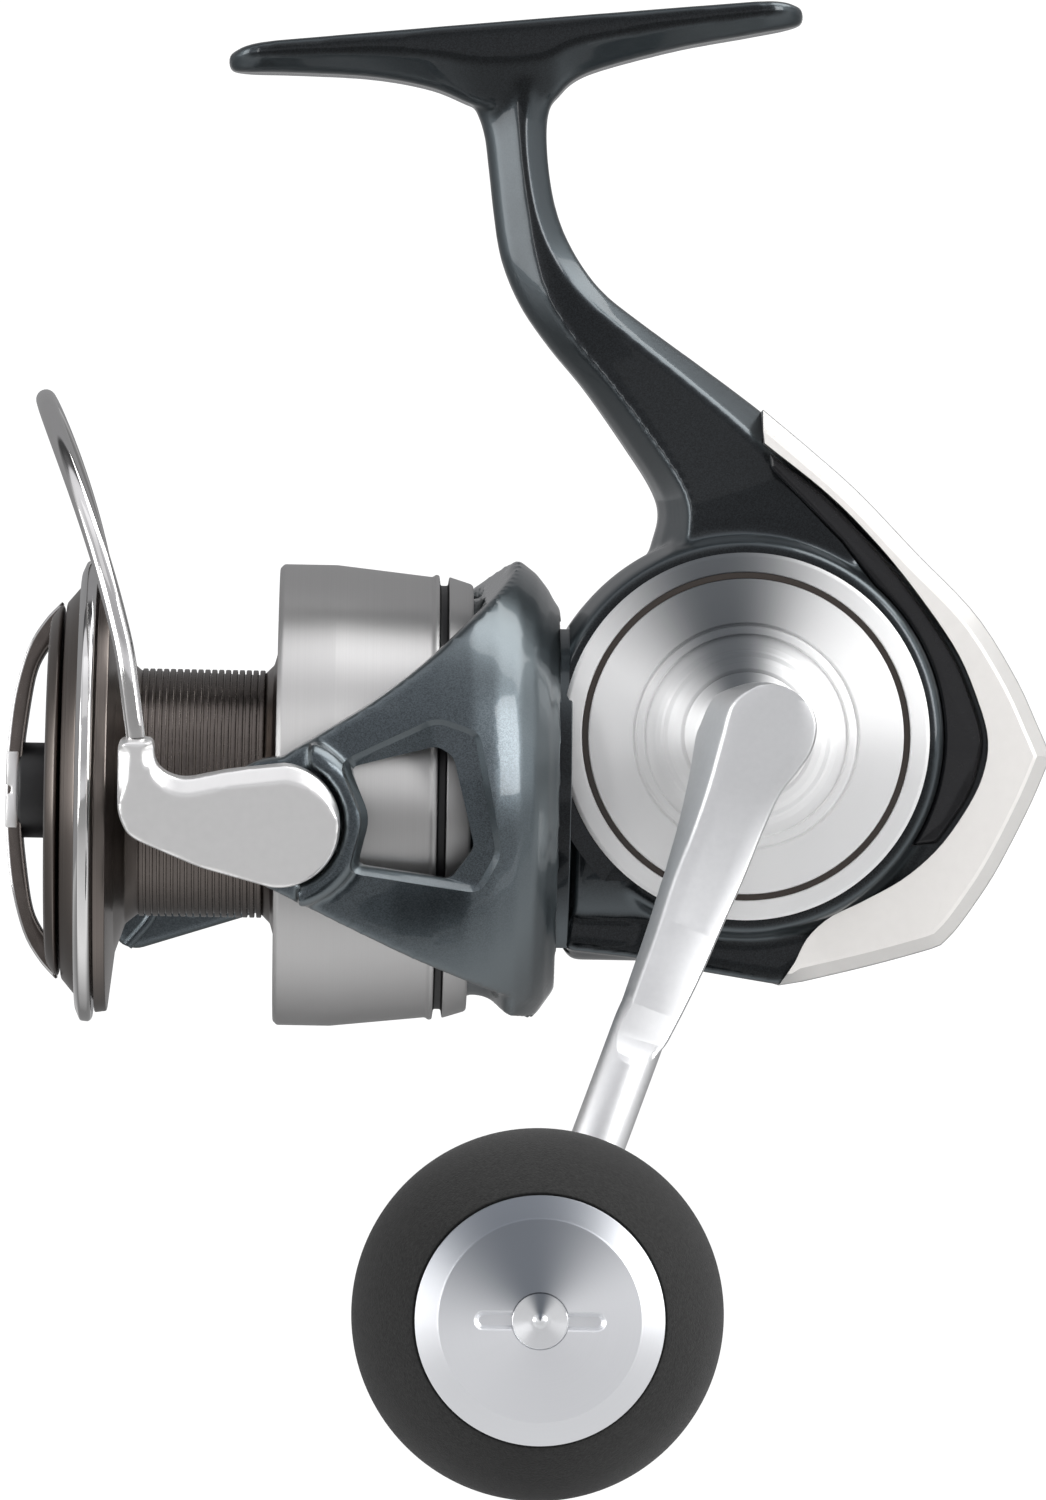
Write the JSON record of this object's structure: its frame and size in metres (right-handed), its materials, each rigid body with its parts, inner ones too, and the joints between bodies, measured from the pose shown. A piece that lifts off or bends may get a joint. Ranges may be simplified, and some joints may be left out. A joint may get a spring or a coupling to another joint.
{
  "type": "spinning reel",
  "caption": "Fixed-spool fishing reel on a rod foot: crank with round knob, geared rotor with wire bail and line roller, and a sliding spool with a front drag knob.",
  "frame": {"origin": "centre of the foot's flat seat face, where the rod's reel seat presses", "axes": "+Z out of the seat towards the rod, +X to the rear along the rod, +Y away from the crank side"},
  "size_m": [0.1224, 0.12, 0.1696],
  "materials": {
    "slate_paint": "gloss metallic paint",
    "pearl_paint": "satin pearl paint",
    "gloss_black": "gloss",
    "turned_aluminium": "diamond turned",
    "satin_aluminium": "satin",
    "polished_steel": "polished",
    "dark_titanium": "dark anodised",
    "bearing_steel": "ground",
    "brass": "machined",
    "foam": "matte foam",
    "felt_carbon": "woven friction disc",
    "nylon": "moulded"
  },
  "bodies": {
    "body": {"body_frame": "slate_paint", "engine_plate": "turned_aluminium", "rear_cover": "pearl_paint", "rear_inlay_near": "gloss_black", "rear_inlay_far": "gloss_black", "far_side_cap": "satin_aluminium", "drive_bearing_near": "bearing_steel", "drive_bearing_far": "bearing_steel", "pinion_bearing_front": "bearing_steel", "pinion_bush_rear": "brass", "one_way_clutch": "bearing_steel", "clutch_retainer": "satin_aluminium", "guide_rod": "bearing_steel"},
    "crank": {"drive_gear": "brass", "wind_drive_gear": "brass", "crank_spindle": "bearing_steel", "crank_collar": "satin_aluminium", "crank_arm": "satin_aluminium", "knob_post": "bearing_steel", "knob_screw": "bearing_steel"},
    "knob": {"knob_grip": "foam", "knob_core": "nylon", "knob_cap": "satin_aluminium", "knob_bearing_inner": "bearing_steel", "knob_bearing_outer": "bearing_steel"},
    "rotor": {"rotor": "slate_paint", "rotor_nut": "satin_aluminium", "pinion_gear": "brass", "clutch_sleeve": "bearing_steel", "bail_spring": "bearing_steel", "arm_cover": "slate_paint", "pivot_screw_near": "bearing_steel", "pivot_screw_far": "bearing_steel"},
    "bail": {"bail_lever": "satin_aluminium", "bail_arm": "slate_paint", "bail_wire": "polished_steel", "wire_cone": "polished_steel", "roller_pin": "bearing_steel"},
    "roller": {"line_roller": "polished_steel", "roller_bearing": "bearing_steel"},
    "slide": {"main_shaft": "bearing_steel", "slider_block": "nylon", "spool_collar": "bearing_steel", "drag_plate_keyed": "bearing_steel"},
    "spool": {"spool": "dark_titanium", "spool_lip_ring": "polished_steel", "spool_bearing": "bearing_steel", "click_ratchet": "bearing_steel", "drag_washer_inner": "felt_carbon", "drag_washer_middle": "felt_carbon", "drag_washer_outer": "felt_carbon", "drag_plate_eared": "bearing_steel", "drag_snap_ring": "bearing_steel"},
    "drag": {"drag_knob": "dark_titanium", "drag_nut": "brass"},
    "wind": {"cross_wind_gear": "nylon"}
  },
  "joints": [
    {"name": "crank_turn", "type": "hinge", "parent": "body", "child": "crank", "pos_m": [0.01961, 0, -0.08599], "axis": [0, 1, 0], "continuous": true},
    {"name": "knob_spin", "type": "hinge", "parent": "crank", "child": "knob", "pos_m": [-0.01065, 0, -0.14878], "axis": [0, 1, 0], "continuous": true},
    {"name": "rotor_spin", "type": "hinge", "parent": "body", "child": "rotor", "pos_m": [0.01885, 0, -0.09357], "axis": [0.995, 0, -0.0998], "continuous": true},
    {"name": "bail_swing", "type": "hinge", "parent": "rotor", "child": "bail", "pos_m": [-0.03488, 0, -0.08818], "axis": [0.0111, 0.9938, 0.1109], "range_deg": [0, 60]},
    {"name": "roller_spin", "type": "hinge", "parent": "bail", "child": "roller", "pos_m": [-0.05132, 0.03439, -0.09175], "axis": [0.2029, 0.1064, -0.9734], "continuous": true},
    {"name": "spool_stroke", "type": "slide", "parent": "body", "child": "slide", "axis": [-0.995, 0, 0.0998], "range_m": [0, 0.015]},
    {"name": "spool_spin", "type": "hinge", "parent": "slide", "child": "spool", "pos_m": [0.01885, 0, -0.09357], "axis": [0.995, 0, -0.0998], "continuous": true},
    {"name": "drag_turn", "type": "hinge", "parent": "slide", "child": "drag", "pos_m": [0.01885, 0, -0.09357], "axis": [0.995, 0, -0.0998], "range_deg": [0, 720]},
    {"name": "cross_wind_turn", "type": "hinge", "parent": "body", "child": "wind", "pos_m": [0.03262, 0, -0.09663], "axis": [0, 1, 0], "continuous": true}
  ],
  "couplings": [
    {"joint": "rotor_spin", "follows": "crank_turn", "ratio": -5.2857},
    {"joint": "cross_wind_turn", "follows": "crank_turn", "ratio": -0.64706}
  ]
}
